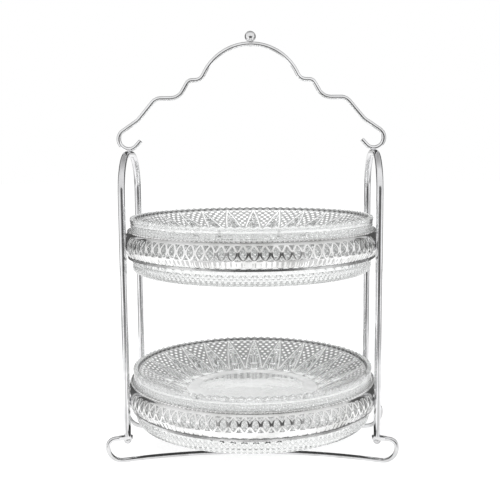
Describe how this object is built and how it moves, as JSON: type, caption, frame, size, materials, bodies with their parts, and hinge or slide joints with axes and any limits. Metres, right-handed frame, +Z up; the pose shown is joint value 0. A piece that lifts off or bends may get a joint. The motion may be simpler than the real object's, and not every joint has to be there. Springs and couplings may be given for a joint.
{
  "type": "tiered cake stand",
  "caption": "Tiered cake stand of bent polished rod, with pressed-glass dishes that lift out of pierced metal galleries, scrolled wire feet and a stepped carrying handle with a ball finial.",
  "frame": {"origin": "on the floor under the middle of the stand", "axes": "+Z up, front towards -Y, +X to the right seen from the front, the side frames stand at -X and +X"},
  "size_m": [0.258, 0.2332, 0.3802],
  "materials": {
    "polished_rod": "polished silver plate",
    "polished_wire": "polished silver plate",
    "pierced_plate": "polished silver plate on pierced sheet",
    "screw_metal": "polished",
    "pressed_glass": "clear pressed glass"
  },
  "bodies": {
    "stand": {"left_side_frame": "polished_rod", "right_side_frame": "polished_rod", "handle": "polished_wire", "finial": "polished_wire", "front_base_wire": "polished_wire", "back_base_wire": "polished_wire", "left_foot_screws": "screw_metal", "right_foot_screws": "screw_metal", "lower_gallery": "pierced_plate", "lower_rim_wire": "pierced_plate", "lower_seat_ring": "pierced_plate", "lower_gallery_screws": "screw_metal", "upper_gallery": "pierced_plate", "upper_rim_wire": "pierced_plate", "upper_seat_ring": "pierced_plate", "upper_gallery_screws": "screw_metal"},
    "upper_dish": {"upper_dish": "pressed_glass"},
    "lower_dish": {"lower_dish": "pressed_glass"}
  },
  "joints": [
    {"name": "upper_dish_lift", "type": "slide", "parent": "stand", "child": "upper_dish", "axis": [0, 0, 1], "range_m": [0, 0.052]},
    {"name": "lower_dish_lift", "type": "slide", "parent": "stand", "child": "lower_dish", "axis": [0, 0, 1], "range_m": [0, 0.088]}
  ]
}
